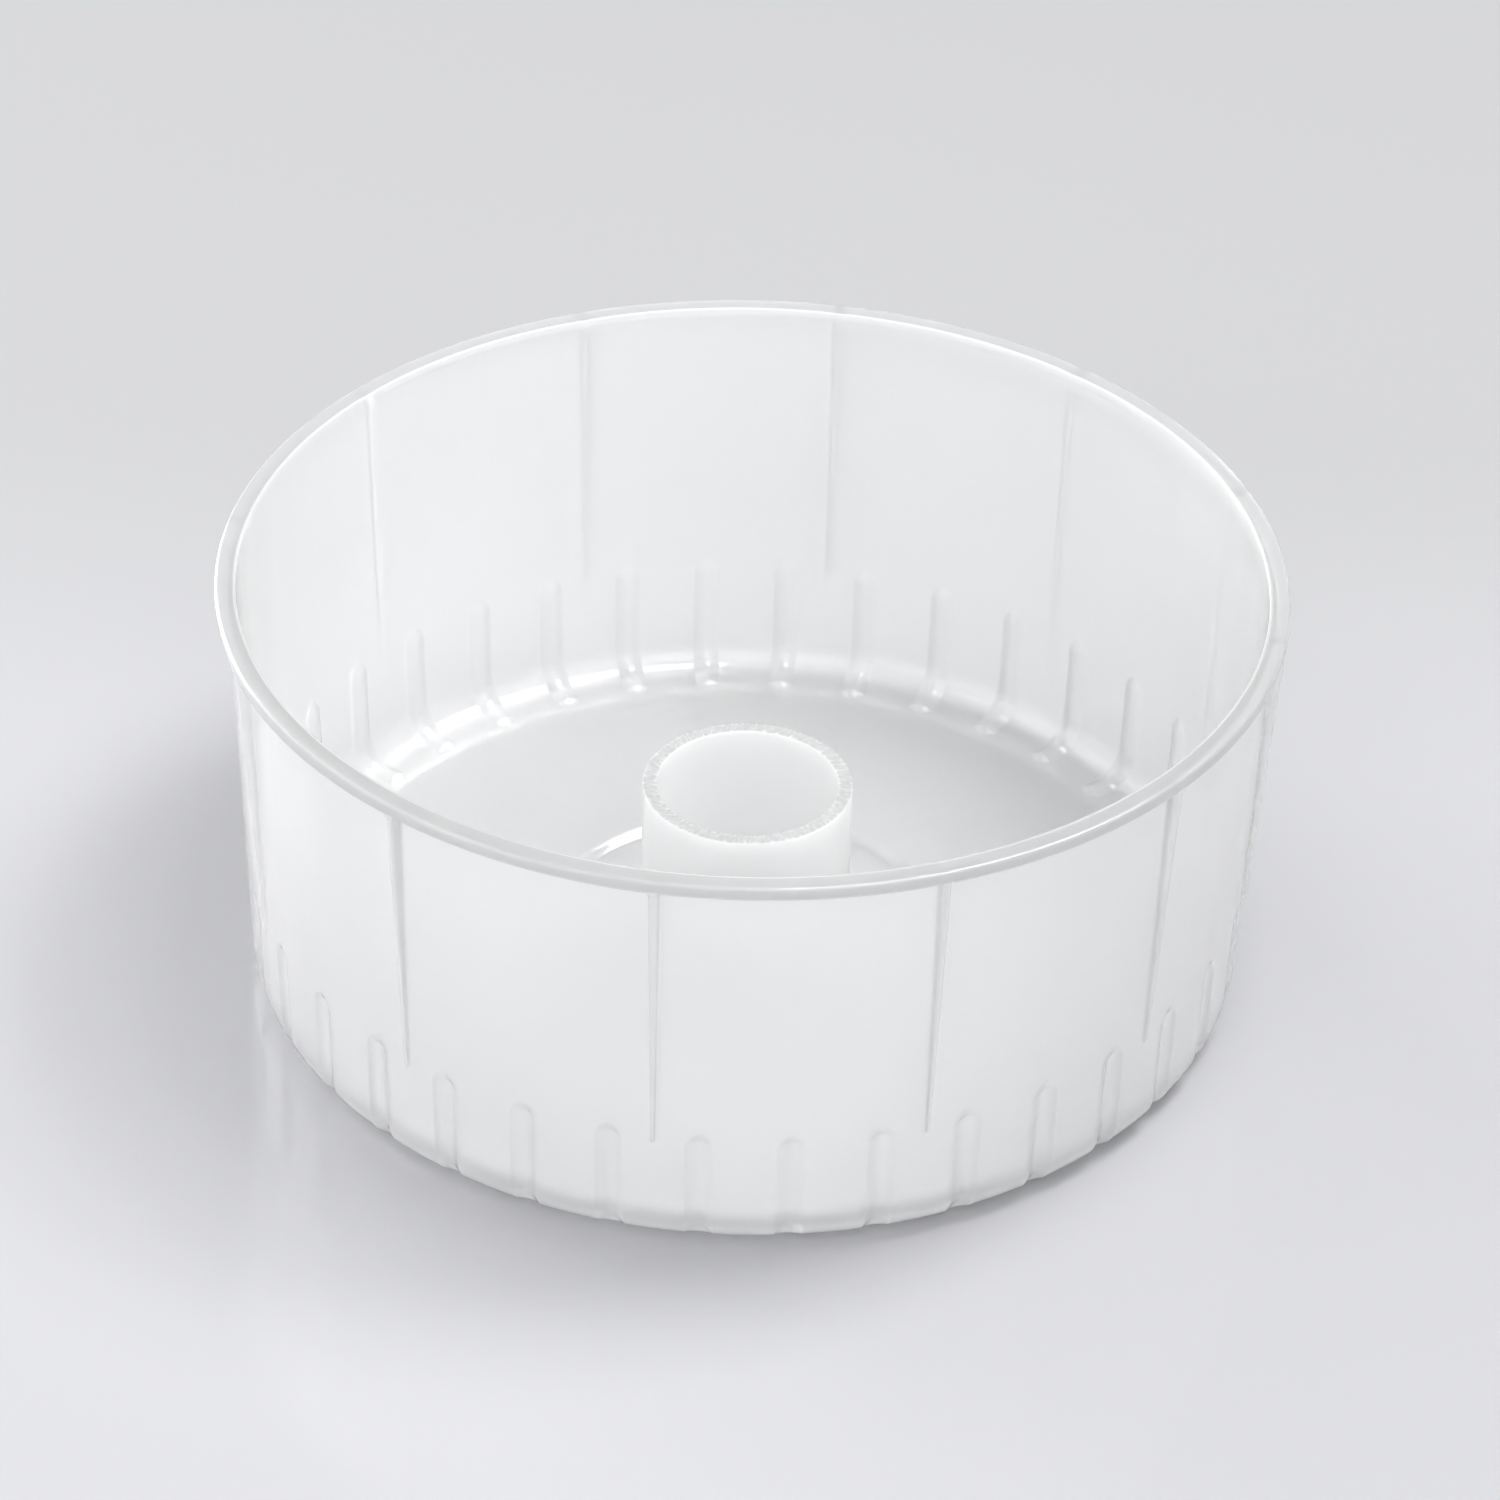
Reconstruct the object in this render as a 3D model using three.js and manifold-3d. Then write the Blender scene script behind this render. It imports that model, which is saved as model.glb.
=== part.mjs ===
// Cheese mold: a round plastic tub with draft on its wall, a flat flanged rim, stiffening fins
// outside, draining ridges round the foot of the wall, and a plain tube that stands in the middle
// so that the cheese comes out as a ring.
// Millimetres, +Z up. The origin is the centre of the tub on the plane that it rests on.

import * as THREE from 'three';
import { mergeVertices } from 'three/addons/utils/BufferGeometryUtils.js';
import Module from 'manifold-3d';

const wasm = await Module();
wasm.setup();

// ---- Driving dimensions ----
const HEIGHT = 85; // resting plane to rim top
const RIM_RADIUS = 100; // outside of the rim flange
const RIM_DEPTH = 2.6; // rim top to the underside of the flange
const RIM_EDGE = 0.8; // rounding of the flange's outer edge

const WALL = 1.6; // moulded thickness of the wall and the floor
const WALL_RADIUS_TOP = 97.6; // outside of the wall under the flange
const WALL_RADIUS_FOOT = 94.5; // the same line run down to the resting plane
const OUTER_CORNER = 7.5; // rounding between wall and foot, outside
const INNER_CORNER = 6.5; // rounding between wall and floor, inside

const FLOOR_TOP = 3; // inside face of the floor
const FOOT_RING_WIDTH = 3; // flat ring that the tub stands on
const PAD_RADIUS = 38.5; // middle of the step round the sunk centre pad
const STEP_RUN = 2.2; // width of that step

const SPIGOT_HEIGHT = 5; // low collar on the pad, inside the tube
const FIT_GAP = 0.3; // between the tub and the loose tube

const TUBE_RADIUS = 20;
const TUBE_BORE = 17.35;
const TUBE_TOP = 37.7; // tube top above the resting plane

const FIN_COUNT = 12;
const FIN_REACH = 2.3; // out from the wall, under the flange
const FIN_FOOT = 24; // height at which a fin runs out into the wall
const FIN_WIDTH_TOP = 2.2;
const FIN_WIDTH_FOOT = 1.1;

const RIDGE_COUNT = 36;
const RIDGE_WIDTH = 5.2;
const RIDGE_HEIGHT = 1.3; // inward from the wall, and up from the floor
const RIDGE_TOP = 27.7; // height of the upper end on the wall
const RIDGE_END_RADIUS = 82; // radius of the lower end on the floor
const GROOVE_DEPTH = 0.8; // hollow behind each ridge, outside
const ROOT = 0.5; // how far a fin or a ridge reaches into the wall behind it

const ROUND_STEPS = 72; // flats round the tub
const TUBE_STEPS = 48;
const CORNER_STEPS = 6;

// ---- Worked-out dimensions ----
const TAPER = (WALL_RADIUS_TOP - WALL_RADIUS_FOOT) / (HEIGHT - RIM_DEPTH);
const TAPER_ANGLE = Math.atan(TAPER);
const PAD_TOP = WALL;
const FLOOR_UNDER = FLOOR_TOP - WALL;
const SPIGOT_RADIUS = TUBE_BORE - FIT_GAP;
const RIDGE_PITCH = 360 / RIDGE_COUNT;

const outerWall = (z) => WALL_RADIUS_FOOT + TAPER * z;
const innerWall = (z) => outerWall(z) - WALL;
const spot = (r, z) => new THREE.Vector2(r, z);

// Centre radius of a rounding that touches a level plane and a wall line of the same taper.
function cornerCentre(wallAt, planeZ, radius) {
  return wallAt(planeZ + radius) - radius * Math.hypot(1, TAPER);
}

function arc(centreR, centreZ, radius, from, to, steps) {
  return Array.from({ length: steps + 1 }, (_, i) => {
    const angle = from + ((to - from) * i) / steps;
    return spot(centreR + radius * Math.cos(angle), centreZ + radius * Math.sin(angle));
  });
}

// The rounding inside the tub, from the wall down to the floor.
function innerCorner() {
  const centre = cornerCentre(innerWall, FLOOR_TOP, INNER_CORNER);
  return arc(centre, FLOOR_TOP + INNER_CORNER, INNER_CORNER, -TAPER_ANGLE, -Math.PI / 2, CORNER_STEPS);
}

function outerCorner() {
  const centre = cornerCentre(outerWall, 0, OUTER_CORNER);
  return arc(centre, OUTER_CORNER, OUTER_CORNER, -Math.PI / 2, -TAPER_ANGLE, CORNER_STEPS);
}

// ---- Solids and geometry ----
function turned(profile, steps) {
  return new THREE.LatheGeometry(profile, steps).rotateX(Math.PI / 2);
}

function solidOf(geometry) {
  const bare = geometry.clone();
  bare.deleteAttribute('normal');
  bare.deleteAttribute('uv');
  const merged = mergeVertices(bare, 1e-4);
  return new wasm.Manifold(new wasm.Mesh({
    numProp: 3,
    vertProperties: new Float32Array(merged.attributes.position.array),
    triVerts: new Uint32Array(merged.index.array),
  }));
}

function geometryOf(solid) {
  const mesh = solid.getMesh();
  const geometry = new THREE.BufferGeometry();
  geometry.setAttribute('position', new THREE.BufferAttribute(mesh.vertProperties, 3));
  geometry.setIndex(new THREE.BufferAttribute(mesh.triVerts, 1));
  geometry.computeVertexNormals();
  return geometry;
}

// A plate cut to an outline of radius and height, standing upright across the radius at azimuth 0.
function radialPlate(outline, width) {
  const plate = new THREE.ExtrudeGeometry(new THREE.Shape(outline), {
    depth: width,
    bevelEnabled: false,
  });
  return plate.translate(0, 0, -width / 2).rotateX(Math.PI / 2);
}

// Copies of one solid round the axis.
function around(solid, count, firstAngle, apply) {
  for (let i = 0; i < count; i += 1) {
    apply(solid.rotate([0, 0, firstAngle + (360 / count) * i]));
  }
}

// ---- The tub ----
function tubBody() {
  const rimFace = outerWall(HEIGHT) - WALL;
  const underFlange = HEIGHT - RIM_DEPTH;
  const footInside = cornerCentre(outerWall, 0, OUTER_CORNER) - FOOT_RING_WIDTH;
  const stepIn = PAD_RADIUS - STEP_RUN / 2;
  const stepOut = PAD_RADIUS + STEP_RUN / 2;
  return turned([
    spot(0, 0),
    spot(stepIn, 0),
    spot(stepOut, FLOOR_UNDER),
    spot(footInside - FLOOR_UNDER, FLOOR_UNDER),
    spot(footInside, 0),
    ...outerCorner(),
    spot(outerWall(underFlange), underFlange),
    spot(RIM_RADIUS - RIM_EDGE / 2, underFlange),
    spot(RIM_RADIUS, underFlange + RIM_EDGE / 2),
    spot(RIM_RADIUS, HEIGHT - RIM_EDGE),
    spot(RIM_RADIUS - RIM_EDGE, HEIGHT),
    spot(rimFace, HEIGHT),
    ...innerCorner(),
    spot(stepOut, FLOOR_TOP),
    spot(stepIn, PAD_TOP),
    spot(SPIGOT_RADIUS, PAD_TOP),
    spot(SPIGOT_RADIUS, PAD_TOP + SPIGOT_HEIGHT),
    spot(SPIGOT_RADIUS - WALL, PAD_TOP + SPIGOT_HEIGHT),
    spot(SPIGOT_RADIUS - WALL, PAD_TOP),
    spot(0, PAD_TOP),
  ], ROUND_STEPS);
}

// A slim wedge on the outside of the wall, widest and deepest under the flange.
function fin() {
  const top = HEIGHT - RIM_DEPTH / 2;
  const wedge = radialPlate([
    spot(outerWall(FIN_FOOT) - ROOT, FIN_FOOT),
    spot(outerWall(FIN_FOOT), FIN_FOOT),
    spot(outerWall(top) + FIN_REACH, top),
    spot(outerWall(top) - ROOT, top),
  ], FIN_WIDTH_TOP);
  const place = wedge.attributes.position;
  for (let i = 0; i < place.count; i += 1) {
    const rise = (place.getZ(i) - FIN_FOOT) / (top - FIN_FOOT);
    const width = THREE.MathUtils.lerp(FIN_WIDTH_FOOT, FIN_WIDTH_TOP, rise);
    place.setY(i, (place.getY(i) * width) / FIN_WIDTH_TOP);
  }
  return wedge;
}

// A rib that follows the inside of the wall, the rounding and the floor, and runs out at both ends.
function ridge() {
  const runOut = 2 * RIDGE_HEIGHT;
  const crestWall = (z) => innerWall(z) - RIDGE_HEIGHT;
  const crestTop = FLOOR_TOP + RIDGE_HEIGHT;
  const crestCorner = arc(
    cornerCentre(crestWall, crestTop, INNER_CORNER),
    crestTop + INNER_CORNER,
    INNER_CORNER,
    -TAPER_ANGLE,
    -Math.PI / 2,
    CORNER_STEPS,
  );
  const backCorner = arc(
    cornerCentre((z) => innerWall(z) + ROOT, FLOOR_TOP - ROOT, INNER_CORNER),
    FLOOR_TOP - ROOT + INNER_CORNER,
    INNER_CORNER,
    -Math.PI / 2,
    -TAPER_ANGLE,
    CORNER_STEPS,
  );
  return radialPlate([
    spot(innerWall(RIDGE_TOP), RIDGE_TOP),
    spot(crestWall(RIDGE_TOP - runOut), RIDGE_TOP - runOut),
    ...crestCorner,
    spot(RIDGE_END_RADIUS + runOut, crestTop),
    spot(RIDGE_END_RADIUS, FLOOR_TOP),
    spot(RIDGE_END_RADIUS, FLOOR_TOP - ROOT),
    ...backCorner,
    spot(innerWall(RIDGE_TOP) + ROOT, RIDGE_TOP),
  ], RIDGE_WIDTH);
}

// The cutter for the shallow hollow outside, level with a ridge: round-topped, leaning with the wall.
function groove() {
  const half = RIDGE_WIDTH / 2;
  const outline = new THREE.Shape();
  outline.moveTo(-half, 0);
  outline.lineTo(half, 0);
  outline.lineTo(half, RIDGE_TOP - half);
  outline.absarc(0, RIDGE_TOP - half, half, 0, Math.PI, false);
  outline.lineTo(-half, 0);
  const cutter = new THREE.ExtrudeGeometry(outline, {
    depth: RIM_RADIUS - WALL_RADIUS_FOOT,
    bevelEnabled: false,
    curveSegments: 4,
  });
  cutter.rotateX(Math.PI / 2).rotateZ(Math.PI / 2);
  cutter.translate(WALL_RADIUS_FOOT - GROOVE_DEPTH, 0, 0);
  const place = cutter.attributes.position;
  for (let i = 0; i < place.count; i += 1) {
    place.setX(i, place.getX(i) + TAPER * place.getZ(i));
  }
  return cutter;
}

function tub() {
  let solid = solidOf(tubBody());
  around(solidOf(fin()), FIN_COUNT, 0, (copy) => {
    solid = solid.add(copy);
  });
  around(solidOf(groove()), RIDGE_COUNT, RIDGE_PITCH / 2, (copy) => {
    solid = solid.subtract(copy);
  });
  around(solidOf(ridge()), RIDGE_COUNT, RIDGE_PITCH / 2, (copy) => {
    solid = solid.add(copy);
  });
  return geometryOf(solid);
}

// ---- The loose tube ----
function centreTube() {
  const foot = PAD_TOP + FIT_GAP;
  return turned([
    spot(TUBE_BORE, foot),
    spot(TUBE_RADIUS, foot),
    spot(TUBE_RADIUS, TUBE_TOP),
    spot(TUBE_BORE, TUBE_TOP),
    spot(TUBE_BORE, foot),
  ], TUBE_STEPS);
}

// ---- Assembly ----
const clearPlastic = new THREE.MeshStandardMaterial({
  color: 0xeceeed,
  roughness: 0.32,
  metalness: 0,
});
const milkyPlastic = new THREE.MeshStandardMaterial({
  color: 0xe6e8e7,
  roughness: 0.45,
  metalness: 0,
});

function part(name, geometry, material) {
  const mesh = new THREE.Mesh(geometry, material);
  mesh.name = name;
  return mesh;
}

const mold = new THREE.Group();
mold.add(part('mold_tub', tub(), clearPlastic));
mold.add(part('centre_tube', centreTube(), milkyPlastic));

export default mold;
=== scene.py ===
import math

import bmesh
import bpy
import numpy as np
from mathutils import Matrix, Vector


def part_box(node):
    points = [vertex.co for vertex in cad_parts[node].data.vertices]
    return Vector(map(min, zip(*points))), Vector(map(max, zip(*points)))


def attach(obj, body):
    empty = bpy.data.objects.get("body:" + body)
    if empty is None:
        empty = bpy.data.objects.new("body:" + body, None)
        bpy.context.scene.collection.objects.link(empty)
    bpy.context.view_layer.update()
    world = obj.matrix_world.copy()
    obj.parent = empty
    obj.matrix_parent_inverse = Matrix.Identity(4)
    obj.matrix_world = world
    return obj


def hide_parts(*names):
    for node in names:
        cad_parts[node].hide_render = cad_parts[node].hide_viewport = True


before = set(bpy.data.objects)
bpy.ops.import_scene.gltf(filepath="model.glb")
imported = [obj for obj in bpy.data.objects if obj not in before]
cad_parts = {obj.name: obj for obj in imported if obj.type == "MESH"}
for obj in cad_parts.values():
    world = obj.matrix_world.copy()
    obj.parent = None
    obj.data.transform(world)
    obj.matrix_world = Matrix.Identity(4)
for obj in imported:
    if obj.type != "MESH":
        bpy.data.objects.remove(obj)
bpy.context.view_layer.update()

# A cheese mold: a clear-walled plastic tub with a loose tube standing on the pad in its floor.
# The tub is one grid of rows (rings, from the underside round to the collar) and columns (spokes).
# Lengths are in millimetres and angles in degrees unless a comment says otherwise, and a mesh is
# scaled to metres when it is made.
MM = 0.001

tub_low, tub_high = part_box("mold_tub")
tube_low, tube_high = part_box("centre_tube")

# ---- The tub ----
HEIGHT = tub_high.z / MM
RIM_RADIUS = tub_high.x / MM
RIM_DEPTH = 2.6  # rim top to the underside of the flange
RIM_ROUND_OUT = 0.7  # rounding of the rim's outer edge, top
RIM_ROUND_UNDER = 0.5  # the same edge, underside
RIM_ROUND_IN = 0.25  # rounding of the edge of the mouth
SINK_DEPTH = 0.07  # shrink marks on the rim's face over the fins
SINK_WIDTH = 1.6
FLANGE_SAG = 0.3  # the flange is this much deeper where a fin meets it

WALL = 1.6
WALL_RADIUS_TOP = 97.6  # outside of the wall under the flange
WALL_RADIUS_FOOT = 94.5  # the same line run down to the resting plane
TAPER = (WALL_RADIUS_TOP - WALL_RADIUS_FOOT) / (HEIGHT - RIM_DEPTH)
OUTER_CORNER = 7.5  # rounding from the foot up to the wall
INNER_CORNER = 6.5
FLANGE_FILLET = 0.4  # between the wall and the flange's underside

FLOOR_TOP = 3.0
FLOOR_UNDER = FLOOR_TOP - WALL
FOOT_RING_WIDTH = 3.0
FOOT_ROUND = 0.15  # half of the eased inner edge of the foot ring
PAD_TOP = WALL
STEP_IN = 36.8  # the S-shaped step round the sunk pad, inner and outer radius
STEP_OUT = 40.0
STEP_MARGIN = 1.5  # plain rows this far inside and outside the step

SPIGOT_RADIUS = 17.05  # the low collar that the tube stands over
SPIGOT_HEIGHT = 5.0
SPIGOT_ROUND = 0.35
SPIGOT_CREASE = 0.12  # height of the tight corner at its foot, outside
SPIGOT_BAND = 2.0  # the plain part of its faces starts this far up

FIN_COUNT = 12
FIN_REACH = 2.3  # out from the wall, under the flange
FIN_FOOT = 24.0  # height of its lower end
FIN_FOOT_REACH = 0.7  # out from the wall, just above that end
FIN_END = 1.2  # the blunt end rises to that reach over this height
FIN_HALF_TOP = 0.95  # half thickness
FIN_HALF_FOOT = 0.35
FIN_FLARE = 0.2  # small fillet where a fin leaves the wall
FIN_MARGIN = 0.9  # the grid's last column of a fin lies this far beyond the fillet

RIDGE_COUNT = 36
PITCH = 360.0 / RIDGE_COUNT
RIDGE_HALF = 2.6  # half width
RIDGE_HEIGHT = 0.8
RIDGE_SOFTNESS = 1.5  # 1 is a plain arc with crisp edges, and more lets the flanks run out softly
GROOVE_DEPTH = 1.1  # the hollow behind a ridge, in the outside of the wall
GROOVE_SOFTNESS = 1.25
GROOVE_RUN_OUT = (0.2, 3.0)  # the hollow starts from nothing between these heights
RIDGE_TOP = 27.7
ARCH_LENGTH = 3.6  # pointed upper end
ARCH_POWER = 1.7
VEE_LENGTH = 2.7  # pointed lower end on the floor
RIDGE_END_RADIUS = 82.0
RIDGE_ZONE = 4.2  # grid columns belong to a ridge this far to each side
TIP_SQUEEZE = 0.12  # narrowest that the columns come together at a ridge's tip
TIP_RELAX = 4.0  # distance beyond a tip over which they open out again
LEVER = 80.0  # widths across become angles at this radius or a row's own, whichever is larger

# Rows that follow a pointed end, as shares of its length from the tip
ARCH_ROWS = (0.0, 0.11, 0.23, 0.36, 0.5, 0.65, 0.8, 0.95, 1.15)
VEE_ROWS = (0.0, 0.06, 0.15, 0.27, 0.4, 0.55, 0.7, 0.85, 1.0, 1.15)

EJECTOR_RADIUS = 7.4  # shallow witness mark of an ejector pin on the floor
EJECTOR_PLACE = 65.3  # its middle, out from the axis
EJECTOR_ANGLE = 89.2
EJECTOR_DEPTH = 0.14
EJECTOR_EDGE = 0.35  # width of its sloping edge
EJECTOR_CUTS = 6  # cuts of the grid's edges there

# ---- The tube ----
TUBE_RADIUS = tube_high.x / MM
TUBE_TOP = tube_high.z / MM
TUBE_FOOT = tube_low.z / MM
TUBE_BORE = TUBE_RADIUS - 2.65
TUBE_COLUMNS = 288
TUBE_EDGE = 0.25  # rounding of its edges
TUBE_BEVEL = 0.07  # how far the middle of that rounding lies from each face
TUBE_BAND = 2.0  # plain rings this far in from the lower end, and half as far from the upper one
SAW_LOSS = 0.12  # the sawn end lies this far below the CAD's, so that its burrs stay inside
SAW_BURR = 0.1  # tallest burr
ROUGH_OUT = 0.045  # spread of the burrs at the outer edge, the inner edge and the face between
ROUGH_IN = 0.05
ROUGH_FACE = 0.02
SEED = 11

# ---- Camera ----
CAMERA_DISTANCE = 1.234769  # metres, from the origin
CAMERA_AZIMUTH = 9.239
CAMERA_ELEVATION = 36.452
CAMERA_ROLL = 1.484
CAMERA_FOCUS = 4.2494  # focal length over the sensor's width
SENSOR_WIDTH = 36.0
AIM_HEIGHT = 0.0451  # metres up the axis
AIM_SIDE = 0.00028  # metres to the right of it

# ---- Table ----
TABLE_GAP = 0.0001  # metres, so that no face of the foot lies in the plane of the table
TABLE_HALF = 4.0  # metres
# The table's far tone is painted shade: the table is painted darker behind the object.
TABLE_NEAR = (0.368, 0.368, 0.381)
TABLE_FAR_PAINTED_SHADE = (0.325, 0.325, 0.332)
TABLE_FADE = 0.4  # metres behind the axis, over which the painted shade sets in, from the near tone to the far one
TABLE_FADE_SHARES = (0.08, 0.5)  # where in that length the change starts and ends
TABLE_ROUGHNESS = 0.1
TABLE_IOR = 1.45

# ---- Lights ----
SKY_TONE = (0.93, 0.935, 0.95)
SKY_STRENGTH = 0.62
LIGHT_DISTANCE = 1.6  # metres
SMALL = (0.55, 0.55)
WIDE = (1.1, 1.1)
SOFT_BOXES = (  # name, azimuth from the camera's, elevation, size in metres, watts
    ("high_right", 110.0, 62.0, SMALL, 15.0),
    ("high_overhead", 90.0, 78.0, SMALL, 10.0),
    ("front", 0.0, 50.0, WIDE, 6.5),
    ("front_right", 45.0, 45.0, WIDE, 4.5),
    ("left_front", 312.0, 20.0, WIDE, 8.0),
    ("left", 265.0, 42.0, WIDE, 6.5),
    ("left_back", 228.0, 18.0, WIDE, 23.0),
)

# ---- Plastics ----
PLASTIC_IOR = 1.49
GRAIN_DISTANCE = 0.0001  # metres, depth of the bump
NOISE_SPAN = (0.3, 0.7)  # the part of a noise's range that tones and roughness are spread over

TUB_TONES = ((0.965, 0.97, 0.97), (0.98, 0.985, 0.985))
TUB_CLOUDS = (28.0, 4.0)  # noise scale and detail
TUB_PATCHES = (60.0, 3.0)
TUB_PATCH_STRETCH = (1.0, 1.0, 0.35)  # the patches of gloss are longer up the wall
TUB_GRAIN = (900.0, 2.0)
TUB_GRAIN_STRENGTH = 0.12
TUB_ROUGHNESS = (0.36, 0.44)
TUB_COAT = 0.8
TUB_COAT_ROUGHNESS = 0.05
TUB_SPECULAR = 0.15
TUB_CLEAR = 0.64  # share of the light that passes unscattered
TUB_SCATTER = 0.007  # metres

SPECK_TONE = (0.12, 0.11, 0.1)
SPECK_CELLS = 90.0  # cells per metre that may each hold a speck
SPECK_RADIUS = 0.00022  # metres
SPECK_SHARE = 0.05  # of the cells

RIM_AND_FIN_PAINTED_SHADE = (0.54, 0.545, 0.545)  # painted shade on the rim and the fins
FIN_PAINTED_SHADE_SHARE = 0.28  # how much of that painted shade the fins take
FIN_SHADE_BLEND = (0.0001, 0.0004)  # metres out from the wall, where a fin's painted shade sets in
RIM_SHADE_BLEND = (-0.0013, -0.001)  # the same for the rim's face, which starts inside the wall's line
RIM_SHADE_BLEND_HEIGHT = 0.0006  # metres up from the flange's underside

TUBE_TONES = ((0.8, 0.805, 0.805), (0.83, 0.835, 0.835))
TUBE_CLOUDS = (45.0, 3.0)
TUBE_STREAKS = (260.0, 3.0)
TUBE_STREAK_STRETCH = (1.0, 1.0, 0.05)
TUBE_STREAK_STRENGTH = 0.25
TUBE_ROUGHNESS = (0.35, 0.5)
TUBE_CLEAR = 0.4
TUBE_SCATTER = 0.02  # metres
UPPER_END_TONE = (0.4, 0.405, 0.405)
UPPER_END_BLEND = (-0.0003, -0.0001)  # metres from the tube's upper end


# ---------------------------------------------------------------- helpers
def smooth(value, low, high):
    """0 below low, 1 above high, and a soft S between them."""
    share = np.clip((value - low) / (high - low), 0.0, 1.0)
    return share * share * (3.0 - 2.0 * share)


def lerp(start, end, share):
    return start + (end - start) * share


def spaced(start, end, count):
    """count + 1 even steps from start to end, both included."""
    return [start + (end - start) * i / count for i in range(count + 1)]


def outer_wall(z):
    return WALL_RADIUS_FOOT + TAPER * z


def inner_wall(z):
    return outer_wall(z) - WALL


def corner_centre(wall, plane, radius):
    """Centre radius of a rounding between a level plane and the wall."""
    return wall(plane + radius) - radius * math.hypot(1.0, TAPER)


def unit(r, z):
    length = math.hypot(r, z)
    return r / length, z / length


# ---------------------------------------------------------------- rows of the tub's grid
class Row:
    """One ring of the grid: radius, height, the way out of the plastic, and what shapes it."""

    def __init__(self, r, z, normal, side, along=0.0, coarse=False):
        self.r = r
        self.z = z
        self.normal = normal
        self.side = side
        self.along = along
        self.coarse = coarse


TAPER_ANGLE = math.atan(TAPER)
OUT_NORMAL = unit(1.0, -TAPER)
IN_NORMAL = unit(-1.0, TAPER)
UP = (0.0, 1.0)
DOWN = (0.0, -1.0)
OUTER_CENTRE = corner_centre(outer_wall, 0.0, OUTER_CORNER)
INNER_CENTRE = corner_centre(inner_wall, FLOOR_TOP, INNER_CORNER)
FOOT_INSIDE = OUTER_CENTRE - FOOT_RING_WIDTH
INNER_TANGENT_Z = FLOOR_TOP + INNER_CORNER * (1.0 - math.sin(TAPER_ANGLE))
WALL_RUN = (RIDGE_TOP - INNER_TANGENT_Z) / math.cos(TAPER_ANGLE)
CORNER_RUN = INNER_CORNER * (math.pi / 2.0 - TAPER_ANGLE)
RIDGE_RUN = WALL_RUN + CORNER_RUN + INNER_CENTRE - RIDGE_END_RADIUS


def s_step(low, high, side, normal, count):
    """Rows of the S-shaped step between two levels."""
    rows = []
    for r in spaced(STEP_IN, STEP_OUT, count):
        share = float(smooth(r, STEP_IN, STEP_OUT))
        rows.append(Row(r, lerp(low, high, share), normal, side, coarse=True))
    return rows


def underside_rows():
    rows = [Row(0.0, 0.0, DOWN, "pole", coarse=True)]
    rows += [Row(r, 0.0, DOWN, "under", coarse=True) for r in (6.0, 14.0, 24.0, STEP_IN - STEP_MARGIN)]
    rows += s_step(0.0, FLOOR_UNDER, "under", DOWN, 8)
    chamfer = FOOT_INSIDE - FLOOR_UNDER
    outline = [(r, FLOOR_UNDER) for r in (STEP_OUT + STEP_MARGIN, 52.0, 68.0)]
    outline += [
        (chamfer - 0.4, FLOOR_UNDER),
        (chamfer, FLOOR_UNDER - 0.1),
        (FOOT_INSIDE - FOOT_ROUND, FOOT_ROUND),
        (FOOT_INSIDE + 2.0 * FOOT_ROUND, 0.0),
    ]
    rows += [Row(r, z, DOWN, "under", coarse=True) for r, z in outline]
    rows.append(Row(OUTER_CENTRE - 0.5, 0.0, DOWN, "outer"))
    return rows


def outer_corner_rows():
    rows = []
    for angle in spaced(-math.pi / 2.0, -TAPER_ANGLE, 10):
        r = OUTER_CENTRE + OUTER_CORNER * math.cos(angle)
        z = OUTER_CORNER + OUTER_CORNER * math.sin(angle)
        rows.append(Row(r, z, (math.cos(angle), math.sin(angle)), "outer", along=z))
    return rows


def outer_wall_rows():
    under = HEIGHT - RIM_DEPTH
    heights = [11.0, 15.5, 20.0, 22.0]
    heights += [RIDGE_TOP - ARCH_LENGTH * share for share in ARCH_ROWS]
    heights += [RIDGE_TOP + 0.7, RIDGE_TOP + 1.8, RIDGE_TOP + 4.0]
    heights += spaced(36.0, under - 4.0, 7)
    heights += [under - 1.5, under - FLANGE_FILLET]
    return [Row(outer_wall(z), z, OUT_NORMAL, "outer", along=z) for z in sorted(heights)]


def arc(r, z, radius, inward, angles, count):
    """Points of the rounding of an edge at r and z, each with the way out of it.

    The centre lies a radius in from the edge, to the sides that inward says."""
    points = []
    for angle in spaced(*angles, count):
        turn = math.radians(angle)
        out = (math.cos(turn), math.sin(turn))
        points.append((r + radius * (inward[0] + out[0]), z + radius * (inward[1] + out[1]), out))
    return points


def flange_rows():
    """Under the flange, over its edge, across its face and down to the wall inside."""
    under = HEIGHT - RIM_DEPTH
    wall = outer_wall(under)
    rows = [Row(wall + 0.12, under - 0.12, unit(1.0, -1.0), "flange", along=0.12)]
    rows.append(Row(wall + FLANGE_FILLET, under, DOWN, "flange", along=FLANGE_FILLET))
    rows.append(Row(wall + 1.2, under, DOWN, "flange", along=1.2))
    for r, z, out in arc(RIM_RADIUS, under, RIM_ROUND_UNDER, (-1.0, 1.0), (-90.0, 0.0), 3):
        rows.append(Row(r, z, out, "flange", along=r - wall))
    for r, z, out in arc(RIM_RADIUS, HEIGHT, RIM_ROUND_OUT, (-1.0, -1.0), (0.0, 90.0), 5):
        rows.append(Row(r, z, out, "face"))
    inside = inner_wall(HEIGHT)
    for r in (RIM_RADIUS - 1.2, RIM_RADIUS - 1.9, RIM_RADIUS - 2.6, inside + RIM_ROUND_IN + 0.3):
        rows.append(Row(r, HEIGHT, UP, "face"))
    for r, z, out in arc(inside, HEIGHT, RIM_ROUND_IN, (1.0, -1.0), (90.0, 180.0), 4):
        rows.append(Row(r, z, out, "face"))
    return rows


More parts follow.
